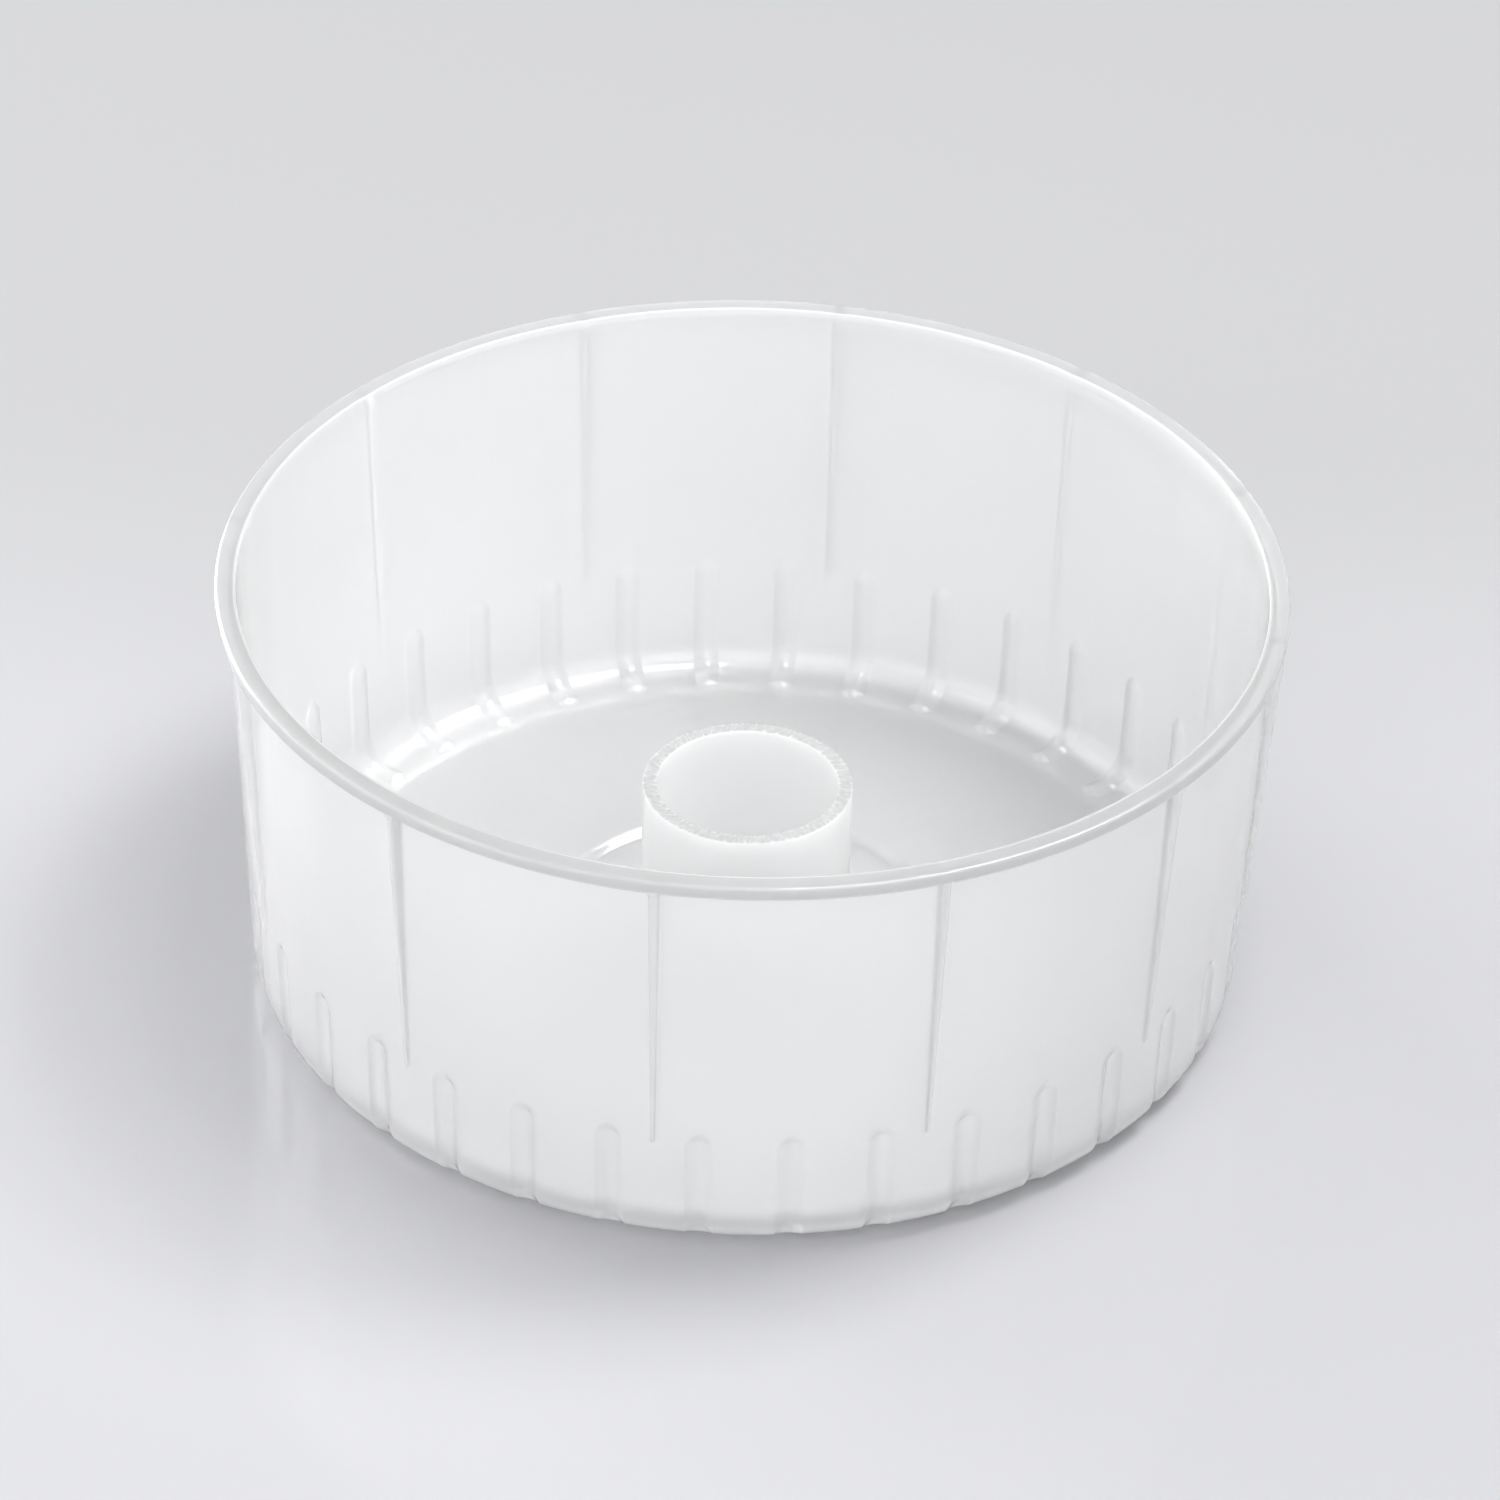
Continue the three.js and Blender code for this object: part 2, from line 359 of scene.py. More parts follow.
def inner_path(along):
    """The point and normal at a distance down the inside from the level of the ridges' tops."""
    if along < WALL_RUN:
        z = RIDGE_TOP - along * math.cos(TAPER_ANGLE)
        return inner_wall(z), z, IN_NORMAL
    if along < WALL_RUN + CORNER_RUN:
        angle = TAPER_ANGLE + (along - WALL_RUN) / INNER_CORNER
        out = (math.cos(angle), -math.sin(angle))
        r = INNER_CENTRE + INNER_CORNER * out[0]
        z = FLOOR_TOP + INNER_CORNER + INNER_CORNER * out[1]
        return r, z, (-out[0], -out[1])
    return INNER_CENTRE - (along - WALL_RUN - CORNER_RUN), FLOOR_TOP, UP


def inner_rows():
    """Down the inside of the wall, over the corner and out to where the floor is plain."""
    above = [RIDGE_TOP - z for z in (HEIGHT - 1.6, HEIGHT - 5.0)]
    above += [-distance for distance in (46.0, 38.0, 30.0, 22.0, 15.0, 9.0, 4.0, 1.8, 0.7)]
    arch = [ARCH_LENGTH * share for share in ARCH_ROWS]
    body = [6.0, 9.0, 13.0, 17.0]
    corner = spaced(WALL_RUN, WALL_RUN + CORNER_RUN, 11)
    vee = [RIDGE_RUN - VEE_LENGTH * share for share in VEE_ROWS]
    beyond = [RIDGE_RUN + distance for distance in (0.5, 1.4, 3.0)]
    rows = []
    for along in sorted(above + arch + body + corner + vee + beyond):
        r, z, normal = inner_path(along)
        rows.append(Row(r, z, normal, "inner", along=along))
    return rows


def floor_rows():
    plain = (77.5, 74.0, 70.0, 66.0, 62.0, 58.0, 54.0, 47.0, STEP_OUT + STEP_MARGIN)
    rows = [Row(r, FLOOR_TOP, UP, "floor", coarse=True) for r in plain]
    rows += reversed(s_step(PAD_TOP, FLOOR_TOP, "floor", UP, 14))
    rows += [Row(r, PAD_TOP, UP, "floor", coarse=True) for r in (STEP_IN - STEP_MARGIN, 28.0, 20.5)]
    return rows


def spigot_rows():
    """The low collar inside the tube, with a small fillet at its foot and rounded edges."""
    outside = SPIGOT_RADIUS
    inside = SPIGOT_RADIUS - WALL
    top = PAD_TOP + SPIGOT_HEIGHT
    turn = SPIGOT_ROUND
    outline = [
        (outside + 0.02, PAD_TOP),
        (outside, PAD_TOP + SPIGOT_CREASE),
        (outside, PAD_TOP + SPIGOT_BAND),
        (outside, top - 2.0 * turn),
        (outside, top - turn),
        (outside - 0.3 * turn, top - 0.3 * turn),
        (outside - turn, top),
        (inside + turn, top),
        (inside + 0.3 * turn, top - 0.3 * turn),
        (inside, top - turn),
        (inside, top - 2.0 * turn),
        (inside, PAD_TOP + SPIGOT_BAND),
        (inside, PAD_TOP + 2.0 * turn),
        (inside - 0.3 * turn, PAD_TOP + 0.3 * turn),
        (inside - 2.0 * turn, PAD_TOP),
    ]
    rows = [Row(r, z, UP, "floor", coarse=True) for r, z in outline]
    rows += [Row(r, PAD_TOP, UP, "floor", coarse=True) for r in (12.0, 6.0)]
    rows.append(Row(0.0, PAD_TOP, UP, "pole", coarse=True))
    return rows


# ---------------------------------------------------------------- columns of the tub's grid
RIDGE_COLUMNS = (0.0, 0.55, 1.1, 1.6, 2.05, 2.4, RIDGE_HALF, 2.85, 3.4)
FIN_ARC = spaced(-90.0, 90.0, 8)


class Column:
    """One spoke of the grid: its ridge or fin, its place across it, and the even-grid mark."""

    def __init__(self, kind, centre, across, mark=False):
        self.kind = kind
        self.centre = centre
        self.across = across
        self.mark = mark


def ridge_columns(centre):
    left = [-across for across in reversed(RIDGE_COLUMNS[1:])]
    places = [-RIDGE_ZONE] + left + list(RIDGE_COLUMNS) + [RIDGE_ZONE]
    return [Column("ridge", centre, across, mark=across == 0.0) for across in places]


def fin_columns(centre):
    """Across a fin: -3 to -1 is its left foot, -1 to 1 the rounded edge, and 1 to 3 the right foot."""
    turned = [math.sin(math.radians(angle)) for angle in FIN_ARC]
    places = [-3.0, -2.0] + turned + [2.0, 3.0]
    return [Column("fin", centre, across, mark=abs(across) < 1e-6) for across in places]


def all_columns():
    columns = []
    fin_pitch = 360.0 / FIN_COUNT
    for ridge in range(RIDGE_COUNT):
        gap = ridge * PITCH
        if gap % fin_pitch == 0.0:
            columns += fin_columns(gap)
        else:
            columns.append(Column("gap", gap, 0.0, mark=True))
        columns += ridge_columns(gap + PITCH / 2.0)
    return columns


# ---------------------------------------------------------------- shaping
def ridge_share(row):
    """Half width of the ridge or groove at a row, as a share of the full half width."""
    if row.side == "inner":
        top = np.clip(1.0 - row.along / ARCH_LENGTH, 0.0, 1.0)
        end = np.clip(1.0 - (RIDGE_RUN - row.along) / VEE_LENGTH, 0.0, 1.0)
        return float((1.0 - top**ARCH_POWER) * (1.0 - end))
    if row.side == "outer":
        top = np.clip(1.0 - (RIDGE_TOP - row.along) / ARCH_LENGTH, 0.0, 1.0)
        return float(1.0 - top**ARCH_POWER)
    return 0.0


def tip_distance(row):
    """How far a row lies beyond the nearest tip of the ridges."""
    if row.side == "inner":
        return max(-row.along, row.along - RIDGE_RUN, 0.0)
    if row.side == "outer":
        return max(row.along - RIDGE_TOP, 0.0)
    return TIP_RELAX


def squeeze(row, across):
    """Where a ridge's column lies across the ridge: the columns close in on its pointed ends."""
    open_again = float(smooth(tip_distance(row), 0.0, TIP_RELAX))
    share = lerp(max(ridge_share(row), TIP_SQUEEZE), 1.0, open_again)
    edge = RIDGE_HALF * share
    size = abs(across)
    if size <= RIDGE_HALF:
        moved = size * share
    else:
        moved = edge + (size - RIDGE_HALF) * (RIDGE_ZONE - edge) / (RIDGE_ZONE - RIDGE_HALF)
    return math.copysign(moved, across)


def ridge_height(row, moved):
    """How far the surface stands off the plain wall, along the row's normal."""
    share = ridge_share(row)
    crown = max(share**2 - (moved / RIDGE_HALF) ** 2, 0.0)
    if row.side == "inner":
        return RIDGE_HEIGHT * crown**RIDGE_SOFTNESS
    if row.side == "outer":
        run_out = float(smooth(row.z, *GROOVE_RUN_OUT))
        return -GROOVE_DEPTH * crown**GROOVE_SOFTNESS * run_out
    return 0.0


def fin_rise(z):
    top = HEIGHT - RIM_DEPTH
    return min(max((z - FIN_FOOT) / (top - FIN_FOOT), 0.0), 1.0)


def fin_section(row, across):
    """Place across and height off the wall of a point on a fin."""
    rise = fin_rise(row.z)
    half = lerp(FIN_HALF_FOOT, FIN_HALF_TOP, rise)
    stand = float(smooth(row.z, FIN_FOOT, FIN_FOOT + FIN_END))
    reach = lerp(FIN_FOOT_REACH, FIN_REACH, rise) * stand
    tip = min(half, reach)
    size = abs(across)
    if size >= 3.0 - 1e-9:
        return math.copysign(half + FIN_FLARE + FIN_MARGIN, across), 0.0
    if size >= 2.0 - 1e-9:
        return math.copysign(half + FIN_FLARE, across), 0.0
    if size >= 1.0 - 1e-9:
        return math.copysign(half * 1.06, across), min(0.12, 0.3 * reach)
    height = reach - tip + tip * math.sqrt(1.0 - size**2)
    return half * across, height


def flange_push(row, height):
    """Under the flange the rows start from the fin's edge instead of the wall."""
    wall = outer_wall(HEIGHT - RIM_DEPTH)
    room = RIM_RADIUS - wall
    return height * (1.0 - row.along / room)


def grid_point(row, column):
    """A point of the tub in millimetres."""
    lever = max(row.r, LEVER)
    r = row.r
    z = row.z
    if column.kind == "ridge":
        across = squeeze(row, column.across)
        lift = ridge_height(row, across)
        r += lift * row.normal[0]
        z += lift * row.normal[1]
    elif column.kind == "fin":
        across, height = fin_section(row, column.across)
        if row.side == "outer":
            r += height
        elif row.side == "flange":
            r += flange_push(row, height)
            z -= FLANGE_SAG * float(smooth(height, 0.1, FIN_REACH)) * max(-row.normal[1], 0.0)
        elif row.side == "face":
            z -= SINK_DEPTH * math.exp(-((across / SINK_WIDTH) ** 2)) * max(row.normal[1], 0.0)
    else:
        across = 0.0
    angle = math.radians(column.centre) + across / lever
    return r * math.cos(angle), r * math.sin(angle), z


def plain_point(row, angle):
    turn = math.radians(angle)
    return row.r * math.cos(turn), row.r * math.sin(turn), row.z


# ---------------------------------------------------------------- faces
def ring_faces(lower, upper, marks):
    """Faces between two rings of vertex numbers, which have equal counts, or one is coarse or a pole."""
    if len(lower) == len(upper):
        count = len(lower)
        return [(lower[i], lower[(i + 1) % count], upper[(i + 1) % count], upper[i]) for i in range(count)]
    if len(lower) == 1:
        count = len(upper)
        return [(lower[0], upper[(i + 1) % count], upper[i]) for i in range(count)]
    if len(upper) == 1:
        count = len(lower)
        return [(lower[i], lower[(i + 1) % count], upper[0]) for i in range(count)]
    faces = []
    flipped = len(lower) > len(upper)
    coarse, fine = (upper, lower) if flipped else (lower, upper)
    for i, start in enumerate(marks):
        end = marks[(i + 1) % len(marks)]
        if end <= start:
            end += len(fine)
        run = [fine[k % len(fine)] for k in range(start, end + 1)]
        pair = [coarse[i], coarse[(i + 1) % len(coarse)]]
        faces.append(tuple(pair + run[::-1]) if not flipped else tuple(run + pair[::-1]))
    return faces


def mesh_from(name, points, faces):
    mesh = bpy.data.meshes.new(name)
    mesh.from_pydata([tuple(c * MM for c in point) for point in points], [], faces)
    mesh.validate()
    mesh.shade_smooth()
    piece = bpy.data.objects.new(name, mesh)
    bpy.context.scene.collection.objects.link(piece)
    return piece


def tub_mesh():
    rows = underside_rows() + outer_corner_rows() + outer_wall_rows() + flange_rows()
    rows += inner_rows() + floor_rows() + spigot_rows()
    columns = all_columns()
    marks = [i for i, column in enumerate(columns) if column.mark]
    points = []
    rings = []
    for row in rows:
        first = len(points)
        if row.side == "pole":
            points.append((0.0, 0.0, row.z))
        elif row.coarse:
            points += [plain_point(row, columns[i].centre) for i in marks]
        else:
            points += [grid_point(row, column) for column in columns]
        rings.append(list(range(first, len(points))))
    faces = []
    for lower, upper in zip(rings, rings[1:]):
        faces += ring_faces(lower, upper, marks)
    return mesh_from("tub_shell", points, faces)


def add_ejector_mark(piece):
    """A shallow disc pressed into the floor, on a patch of grid made finer for it."""
    turn = math.radians(EJECTOR_ANGLE)
    centre = Vector((math.cos(turn), math.sin(turn), 0.0)) * EJECTOR_PLACE * MM
    reach = (EJECTOR_RADIUS + 3.0) * MM
    bm = bmesh.new()
    bm.from_mesh(piece.data)
    level = FLOOR_TOP * MM

    def on_patch(face):
        middle = face.calc_center_median()
        flat = Vector((middle.x - centre.x, middle.y - centre.y))
        return abs(middle.z - level) < 0.1 * MM and flat.length < reach and face.normal.z > 0.5

    patch = [face for face in bm.faces if on_patch(face)]
    edges = list({edge for face in patch for edge in face.edges})
    bmesh.ops.subdivide_edges(bm, edges=edges, cuts=EJECTOR_CUTS, use_grid_fill=True)
    for vert in bm.verts:
        distance = math.hypot(vert.co.x - centre.x, vert.co.y - centre.y) / MM
        if abs(vert.co.z - level) < 0.05 * MM and distance < EJECTOR_RADIUS + 1.0:
            press = 1.0 - float(smooth(distance, EJECTOR_RADIUS - EJECTOR_EDGE, EJECTOR_RADIUS))
            vert.co.z -= EJECTOR_DEPTH * MM * press
    bm.to_mesh(piece.data)
    bm.free()
    piece.data.shade_smooth()


def tube_outline(plain, outer, face_out, face_in, inner):
    """Radius, height and roughness of the tube's rings: up its outside, over its end and down its bore."""
    top = TUBE_TOP - SAW_LOSS
    return [
        (TUBE_BORE + TUBE_EDGE, TUBE_FOOT, plain),
        (TUBE_RADIUS - TUBE_EDGE, TUBE_FOOT, plain),
        (TUBE_RADIUS - TUBE_BEVEL, TUBE_FOOT + TUBE_BEVEL, plain),
        (TUBE_RADIUS, TUBE_FOOT + TUBE_EDGE, plain),
        (TUBE_RADIUS, TUBE_FOOT + TUBE_BAND, plain),
        (TUBE_RADIUS, lerp(TUBE_FOOT, TUBE_TOP, 0.35), plain),
        (TUBE_RADIUS, lerp(TUBE_FOOT, TUBE_TOP, 0.7), plain),
        (TUBE_RADIUS, top - TUBE_BAND / 2.0, plain),
        (TUBE_RADIUS, top - TUBE_EDGE, outer),
        (TUBE_RADIUS - TUBE_BEVEL, top - TUBE_BEVEL, outer),
        (TUBE_RADIUS - TUBE_EDGE, top, outer),
        (lerp(TUBE_RADIUS, TUBE_BORE, 0.35), top, face_out),
        (lerp(TUBE_RADIUS, TUBE_BORE, 0.65), top, face_in),
        (TUBE_BORE + TUBE_EDGE, top, inner),
        (TUBE_BORE + TUBE_BEVEL, top - TUBE_BEVEL, inner),
        (TUBE_BORE, top - TUBE_EDGE, inner),
        (TUBE_BORE, top - TUBE_BAND / 2.0, plain),
        (TUBE_BORE, lerp(TUBE_FOOT, TUBE_TOP, 0.5), plain),
        (TUBE_BORE, TUBE_FOOT + TUBE_BAND, plain),
        (TUBE_BORE, TUBE_FOOT + TUBE_EDGE, plain),
        (TUBE_BORE + TUBE_BEVEL, TUBE_FOOT + TUBE_BEVEL, plain),
    ]


def tube_mesh():
    """The loose tube, cut off square by a saw, so its upper end is a little rough."""
    rng = np.random.default_rng(SEED)
    plain = np.zeros(TUBE_COLUMNS)
    outer = rng.normal(0.0, ROUGH_OUT, TUBE_COLUMNS)
    inner = rng.normal(0.0, ROUGH_IN, TUBE_COLUMNS)
    face = rng.normal(0.0, ROUGH_FACE, (TUBE_COLUMNS, 4))  # two of the four are used
    points = []
    rings = []
    for r, z, rough in tube_outline(plain, outer, face[:, 3], face[:, 0], inner):
        first = len(points)
        for i in range(TUBE_COLUMNS):
            angle = 2.0 * math.pi * i / TUBE_COLUMNS
            points.append((r * math.cos(angle), r * math.sin(angle), z + min(rough[i], SAW_BURR)))
        rings.append(list(range(first, len(points))))
    faces = []
    for lower, upper in zip(rings, rings[1:] + rings[:1]):
        faces += ring_faces(lower, upper, [])
    return mesh_from("tube_shell", points, faces)


# ---------------------------------------------------------------- materials
def new_material(name):
    material = bpy.data.materials.new(name)
    material.use_nodes = True
    nodes = material.node_tree.nodes
    nodes.clear()
    output = nodes.new("ShaderNodeOutputMaterial")
    shader = nodes.new("ShaderNodeBsdfPrincipled")
    material.node_tree.links.new(shader.outputs["BSDF"], output.inputs["Surface"])
    return material, shader


def object_noise(material, scale, detail, stretch=(1.0, 1.0, 1.0)):
    """Noise in the object's own coordinates, in metres."""
    tree = material.node_tree
    place = tree.nodes.new("ShaderNodeTexCoord")
    mapping = tree.nodes.new("ShaderNodeMapping")
    mapping.inputs["Scale"].default_value = stretch
    noise = tree.nodes.new("ShaderNodeTexNoise")
    noise.inputs["Scale"].default_value = scale
    noise.inputs["Detail"].default_value = detail
    tree.links.new(place.outputs["Object"], mapping.inputs["Vector"])
    tree.links.new(mapping.outputs["Vector"], noise.inputs["Vector"])
    return noise.outputs["Fac"]


def ramp(material, value, low, high, start, end):
    """Map a value's range from low to high onto start to end, and hold it there beyond."""
    tree = material.node_tree
    node = tree.nodes.new("ShaderNodeMapRange")
    node.inputs["From Min"].default_value = low
    node.inputs["From Max"].default_value = high
    node.inputs["To Min"].default_value = start
    node.inputs["To Max"].default_value = end
    tree.links.new(value, node.inputs["Value"])
    return node.outputs["Result"]


def two_tone(material, value, tones, places=NOISE_SPAN, interpolation="LINEAR"):
    """The first tone where the value is below the first place, and the second above the second."""
    tree = material.node_tree
    node = tree.nodes.new("ShaderNodeValToRGB")
    node.color_ramp.interpolation = interpolation
    for element, tone, place in zip(node.color_ramp.elements, tones, places):
        element.position = place
        element.color = (*tone, 1.0)
    tree.links.new(value, node.inputs["Fac"])
    return node.outputs["Color"]


def blend(material, share, plain, tone):
    """The plain colour, mixed with a fixed tone by a share from 0 to 1."""
    tree = material.node_tree
    mix = tree.nodes.new("ShaderNodeMixRGB")
    tree.links.new(share, mix.inputs["Fac"])
    tree.links.new(plain, mix.inputs["Color1"])
    mix.inputs["Color2"].default_value = (*tone, 1.0)
    return mix.outputs["Color"]


def object_place(material, turn=0.0):
    """The X, Y and Z of a point in the object's own coordinates, turned about the axis by radians."""
    tree = material.node_tree
    place = tree.nodes.new("ShaderNodeTexCoord")
    mapping = tree.nodes.new("ShaderNodeMapping")
    mapping.inputs["Rotation"].default_value = (0.0, 0.0, turn)
    split = tree.nodes.new("ShaderNodeSeparateXYZ")
    tree.links.new(place.outputs["Object"], mapping.inputs["Vector"])
    tree.links.new(mapping.outputs["Vector"], split.inputs["Vector"])
    return split.outputs["X"], split.outputs["Y"], split.outputs["Z"]


def bump(material, shader, height, strength):
    tree = material.node_tree
    node = tree.nodes.new("ShaderNodeBump")
    node.inputs["Strength"].default_value = strength
    node.inputs["Distance"].default_value = GRAIN_DISTANCE
    tree.links.new(height, node.inputs["Height"])
    tree.links.new(node.outputs["Normal"], shader.inputs["Normal"])


def clear_inside(material, shader, share):
    """Let a share of the light pass clear through, and all of it once it is inside the plastic."""
    tree = material.node_tree
    side = tree.nodes.new("ShaderNodeNewGeometry")
    inside = ramp(material, side.outputs["Backfacing"], 0.0, 1.0, share, 1.0)
    tree.links.new(inside, shader.inputs["Transmission Weight"])


def combine(material, operation, first, second):
    """A Math node of two values, each a socket or a number."""
    tree = material.node_tree
    node = tree.nodes.new("ShaderNodeMath")
    node.operation = operation
    for value, socket in ((first, node.inputs[0]), (second, node.inputs[1])):
        if isinstance(value, float):
            socket.default_value = value
        else:
            tree.links.new(value, socket)
    return node.outputs["Value"]


def specked(material, plain):
    """The plain colour with sparse round specks: a share of the cells of a grid hold one each."""
    tree = material.node_tree
    place = tree.nodes.new("ShaderNodeTexCoord")
    cell = tree.nodes.new("ShaderNodeTexVoronoi")
    cell.inputs["Scale"].default_value = SPECK_CELLS
    tree.links.new(place.outputs["Object"], cell.inputs["Vector"])
    edge = SPECK_RADIUS * SPECK_CELLS
    near = ramp(material, cell.outputs["Distance"], 0.6 * edge, edge, 1.0, 0.0)
    pick = tree.nodes.new("ShaderNodeSeparateColor")
    tree.links.new(cell.outputs["Color"], pick.inputs["Color"])
    chosen = ramp(material, pick.outputs["Red"], SPECK_SHARE, SPECK_SHARE + 0.001, 1.0, 0.0)
    return blend(material, combine(material, "MULTIPLY", near, chosen), plain, SPECK_TONE)


def beyond_wall(material):
    """Height of a point, and how far it stands outside the wall's outer face, in metres."""
    x, y, z = object_place(material)
    across = combine(material, "MULTIPLY", x, x)
    along = combine(material, "MULTIPLY", y, y)
    radius = combine(material, "SQRT", combine(material, "ADD", across, along), 0.0)
    lean = combine(material, "MULTIPLY", z, TAPER)
    line = combine(material, "ADD", lean, WALL_RADIUS_FOOT * MM)
    return z, combine(material, "SUBTRACT", radius, line)


def painted_shade_on_rim_and_fins(material, plain):
    """Painted shade: the rim and the fins are greyed in their base colour, so that they read darker than
    the thin wall.
    """
    height, beyond = beyond_wall(material)
    fins = ramp(material, beyond, *FIN_SHADE_BLEND, 0.0, FIN_PAINTED_SHADE_SHARE)
    low = (HEIGHT - RIM_DEPTH) * MM
    top = ramp(material, height, low, low + RIM_SHADE_BLEND_HEIGHT, 0.0, 1.0)
    face = ramp(material, beyond, *RIM_SHADE_BLEND, 0.0, 1.0)
    rim = combine(material, "MULTIPLY", top, face)
    return blend(material, combine(material, "MAXIMUM", fins, rim), plain, RIM_AND_FIN_PAINTED_SHADE)


def scattering(shader, scale):
    """Milky plastic: all of the light that isn't let through clear is scattered below the surface."""
    shader.inputs["IOR"].default_value = PLASTIC_IOR
    shader.inputs["Subsurface Weight"].default_value = 1.0
    shader.inputs["Subsurface Radius"].default_value = (1.0, 1.0, 1.0)
    shader.inputs["Subsurface Scale"].default_value = scale


def tub_plastic():
    """Natural polypropylene: milky, a little cloudy where it flowed, with a soft uneven gloss."""
    material, shader = new_material("natural_polypropylene")
    tree = material.node_tree
    clouds = object_noise(material, *TUB_CLOUDS)
    plain = two_tone(material, clouds, TUB_TONES)
    # the rim and the fins get painted shade in the base colour
    colour = painted_shade_on_rim_and_fins(material, specked(material, plain))
    tree.links.new(colour, shader.inputs["Base Color"])
    patches = object_noise(material, *TUB_PATCHES, TUB_PATCH_STRETCH)
    tree.links.new(ramp(material, patches, *NOISE_SPAN, *TUB_ROUGHNESS), shader.inputs["Roughness"])
    bump(material, shader, object_noise(material, *TUB_GRAIN), TUB_GRAIN_STRENGTH)
    shader.inputs["Coat Weight"].default_value = TUB_COAT
    shader.inputs["Coat Roughness"].default_value = TUB_COAT_ROUGHNESS
    shader.inputs["Coat IOR"].default_value = PLASTIC_IOR
    shader.inputs["Specular IOR Level"].default_value = TUB_SPECULAR
    clear_inside(material, shader, TUB_CLEAR)
    scattering(shader, TUB_SCATTER)
    return material


def greyer_upper_end(material, plain):
    """The upper end of the tube is a little greyer than its drawn faces."""
    end = TUBE_TOP * MM
    height = object_place(material)[2]
    share = ramp(material, height, end + UPPER_END_BLEND[0], end + UPPER_END_BLEND[1], 0.0, 1.0)
    return blend(material, share, plain, UPPER_END_TONE)


def tube_plastic():
    """The cut tube is milkier and more matt, with faint drawn lines along it."""
    material, shader = new_material("milky_polypropylene")
    tree = material.node_tree
    clouds = object_noise(material, *TUBE_CLOUDS)
    plain = two_tone(material, clouds, TUBE_TONES)
    tree.links.new(greyer_upper_end(material, plain), shader.inputs["Base Color"])
    streaks = object_noise(material, *TUBE_STREAKS, TUBE_STREAK_STRETCH)
    tree.links.new(ramp(material, streaks, *NOISE_SPAN, *TUBE_ROUGHNESS), shader.inputs["Roughness"])
    bump(material, shader, streaks, TUBE_STREAK_STRENGTH)
    clear_inside(material, shader, TUBE_CLEAR)
    scattering(shader, TUBE_SCATTER)
    return material


# ---------------------------------------------------------------- stage, lights and camera
def stage_floor():
    """A glossy pale table, with painted shade making it a little darker behind the object."""
    material, shader = new_material("pale_table")
    # painted shade: darker the further a point lies behind the axis, away from the camera
    behind = object_place(material, -math.radians(CAMERA_AZIMUTH))[1]
    share = ramp(material, behind, 0.0, TABLE_FADE, 0.0, 1.0)
    colour = two_tone(material, share, (TABLE_NEAR, TABLE_FAR_PAINTED_SHADE), TABLE_FADE_SHARES, "EASE")
    material.node_tree.links.new(colour, shader.inputs["Base Color"])
    shader.inputs["Roughness"].default_value = TABLE_ROUGHNESS
    shader.inputs["IOR"].default_value = TABLE_IOR
    half = TABLE_HALF
    low = -TABLE_GAP
    corners = [(-half, -half, low), (half, -half, low), (half, half, low), (-half, half, low)]
    mesh = bpy.data.meshes.new("table")
    mesh.from_pydata(corners, [], [(0, 1, 2, 3)])
    mesh.materials.append(material)
    table = bpy.data.objects.new("table", mesh)
    bpy.context.scene.collection.objects.link(table)


def direction(azimuth, elevation):
    """The way from the origin to a camera or light; azimuth 0 is in front, at -Y."""
    turn = math.radians(azimuth)
    rise = math.radians(elevation)
    return Vector((math.sin(turn) * math.cos(rise), -math.cos(turn) * math.cos(rise), math.sin(rise)))


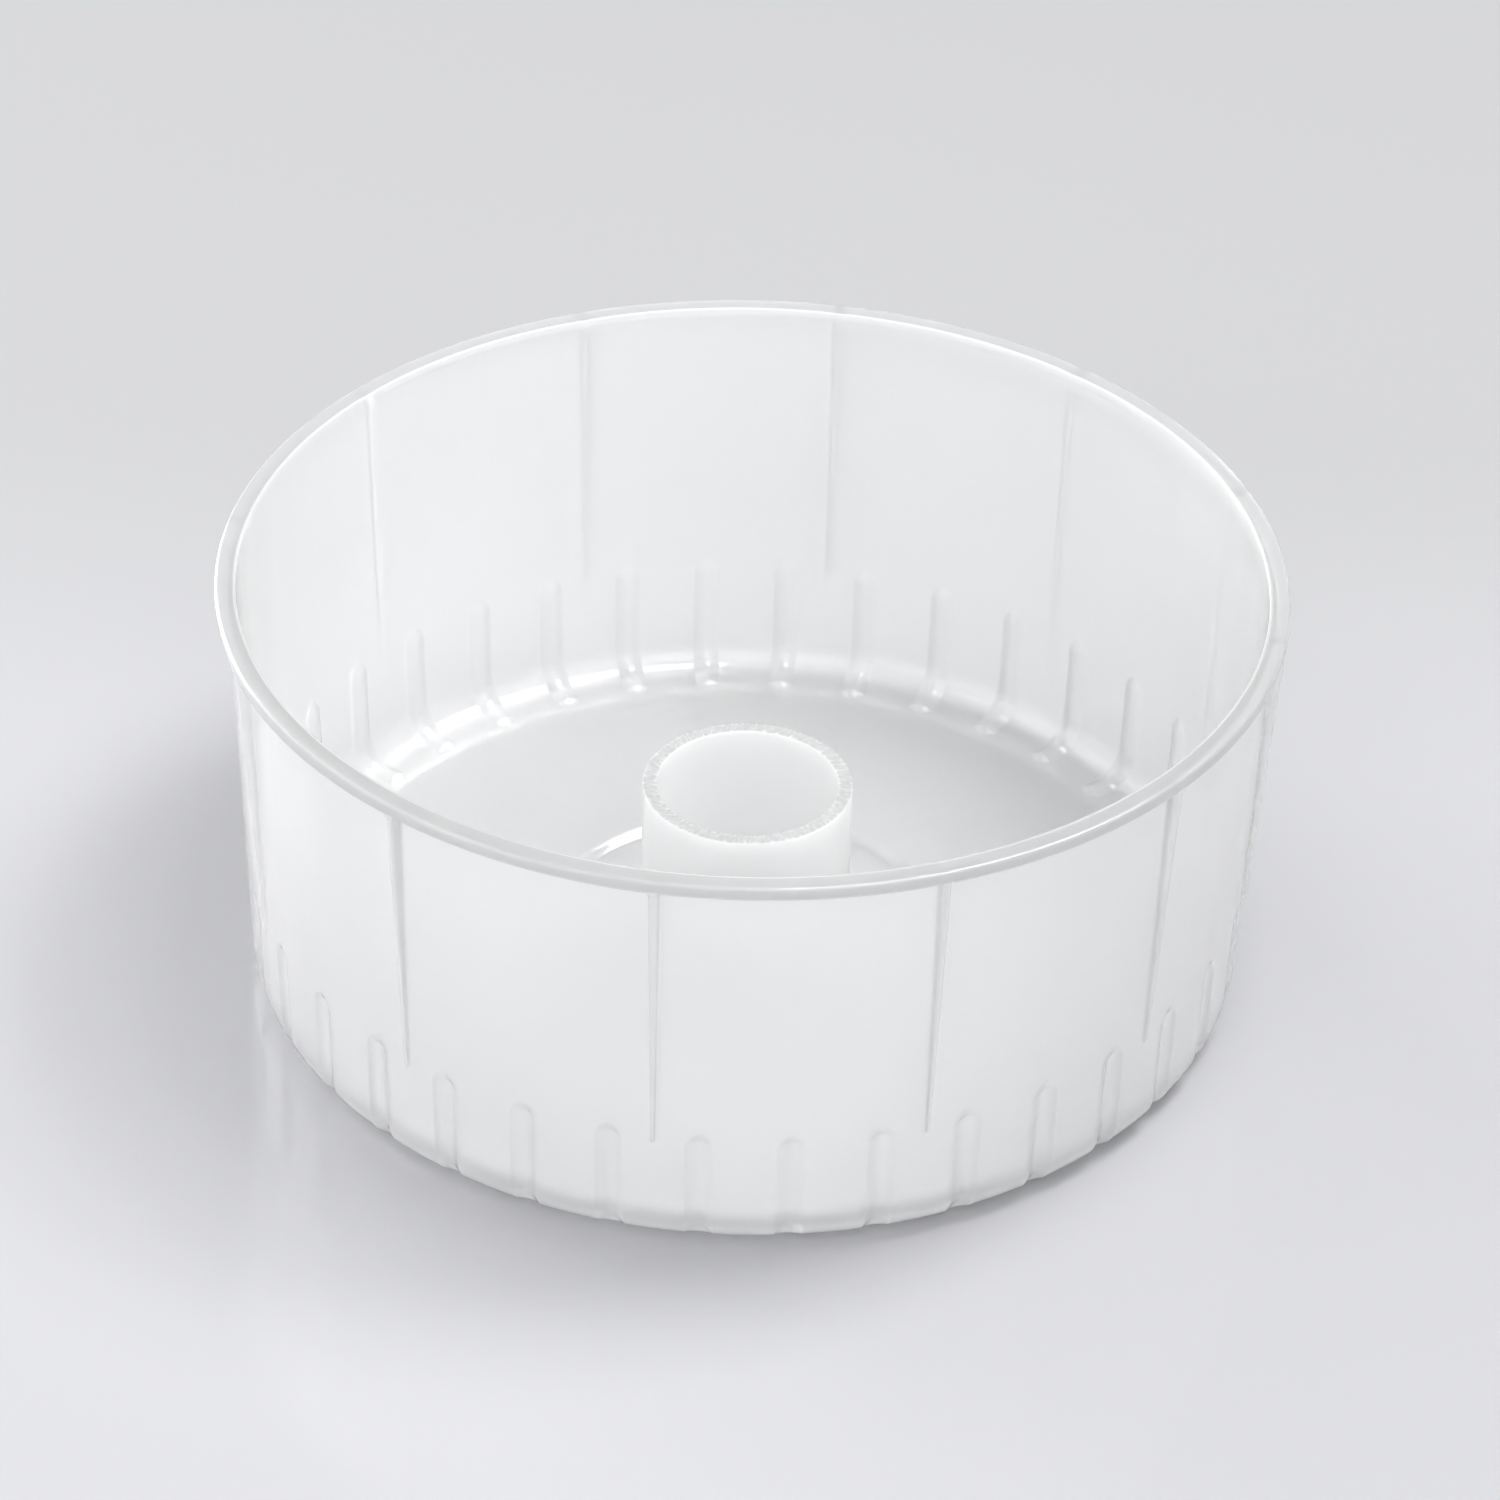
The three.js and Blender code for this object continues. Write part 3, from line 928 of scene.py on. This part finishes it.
def area_light(name, azimuth, elevation, size, power):
    """A soft box at an azimuth measured from the camera's, aimed at the middle of the tub's foot."""
    way = direction(CAMERA_AZIMUTH + azimuth, elevation)
    data = bpy.data.lights.new(name, "AREA")
    data.shape = "RECTANGLE"
    data.size = size[0]
    data.size_y = size[1]
    data.energy = power
    light = bpy.data.objects.new(name, data)
    light.location = way * LIGHT_DISTANCE
    light.rotation_mode = "QUATERNION"
    light.rotation_quaternion = way.to_track_quat("Z", "Y")
    bpy.context.scene.collection.objects.link(light)


def studio():
    """An even pale sky, small boxes high on the right, and wide ones in front and along the left."""
    world = bpy.data.worlds.new("studio")
    world.use_nodes = True
    sky = world.node_tree.nodes["Background"]
    sky.inputs["Color"].default_value = (*SKY_TONE, 1.0)
    sky.inputs["Strength"].default_value = SKY_STRENGTH
    scene = bpy.context.scene
    scene.world = world
    scene.view_settings.view_transform = "Standard"
    for name, azimuth, elevation, size, power in SOFT_BOXES:
        area_light(name, azimuth, elevation, size, power)


def camera():
    """The photograph's camera, fitted to the outlines of the rim, the foot, the tube and the ridges."""
    turn = math.radians(CAMERA_AZIMUTH)
    roll = math.radians(CAMERA_ROLL)
    side = Vector((math.cos(turn), math.sin(turn), 0.0))
    place = direction(CAMERA_AZIMUTH, CAMERA_ELEVATION) * CAMERA_DISTANCE
    aim = Vector((0.0, 0.0, AIM_HEIGHT)) + side * AIM_SIDE
    ahead = (aim - place).normalized()
    right = ahead.cross(Vector((0.0, 0.0, 1.0))).normalized()
    up = right.cross(ahead)
    leaned_right = right * math.cos(roll) + up * math.sin(roll)
    leaned_up = up * math.cos(roll) - right * math.sin(roll)
    data = bpy.data.cameras.new("camera")
    data.sensor_width = SENSOR_WIDTH
    data.lens = CAMERA_FOCUS * SENSOR_WIDTH
    view = bpy.data.objects.new("camera", data)
    turned = Matrix((leaned_right, leaned_up, -ahead)).transposed().to_4x4()
    view.matrix_world = Matrix.Translation(place) @ turned
    bpy.context.scene.collection.objects.link(view)
    bpy.context.scene.camera = view


# ---------------------------------------------------------------- scene
def dress(piece, material, body, node):
    """Give a piece its plastic and the body that it moves with, and hide the CAD part that it stands in
    for.
    """
    piece.data.materials.append(material)
    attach(piece, body)
    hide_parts(node)


shell = tub_mesh()
add_ejector_mark(shell)
dress(shell, tub_plastic(), "tub", "mold_tub")
dress(tube_mesh(), tube_plastic(), "tube", "centre_tube")
stage_floor()
studio()
camera()
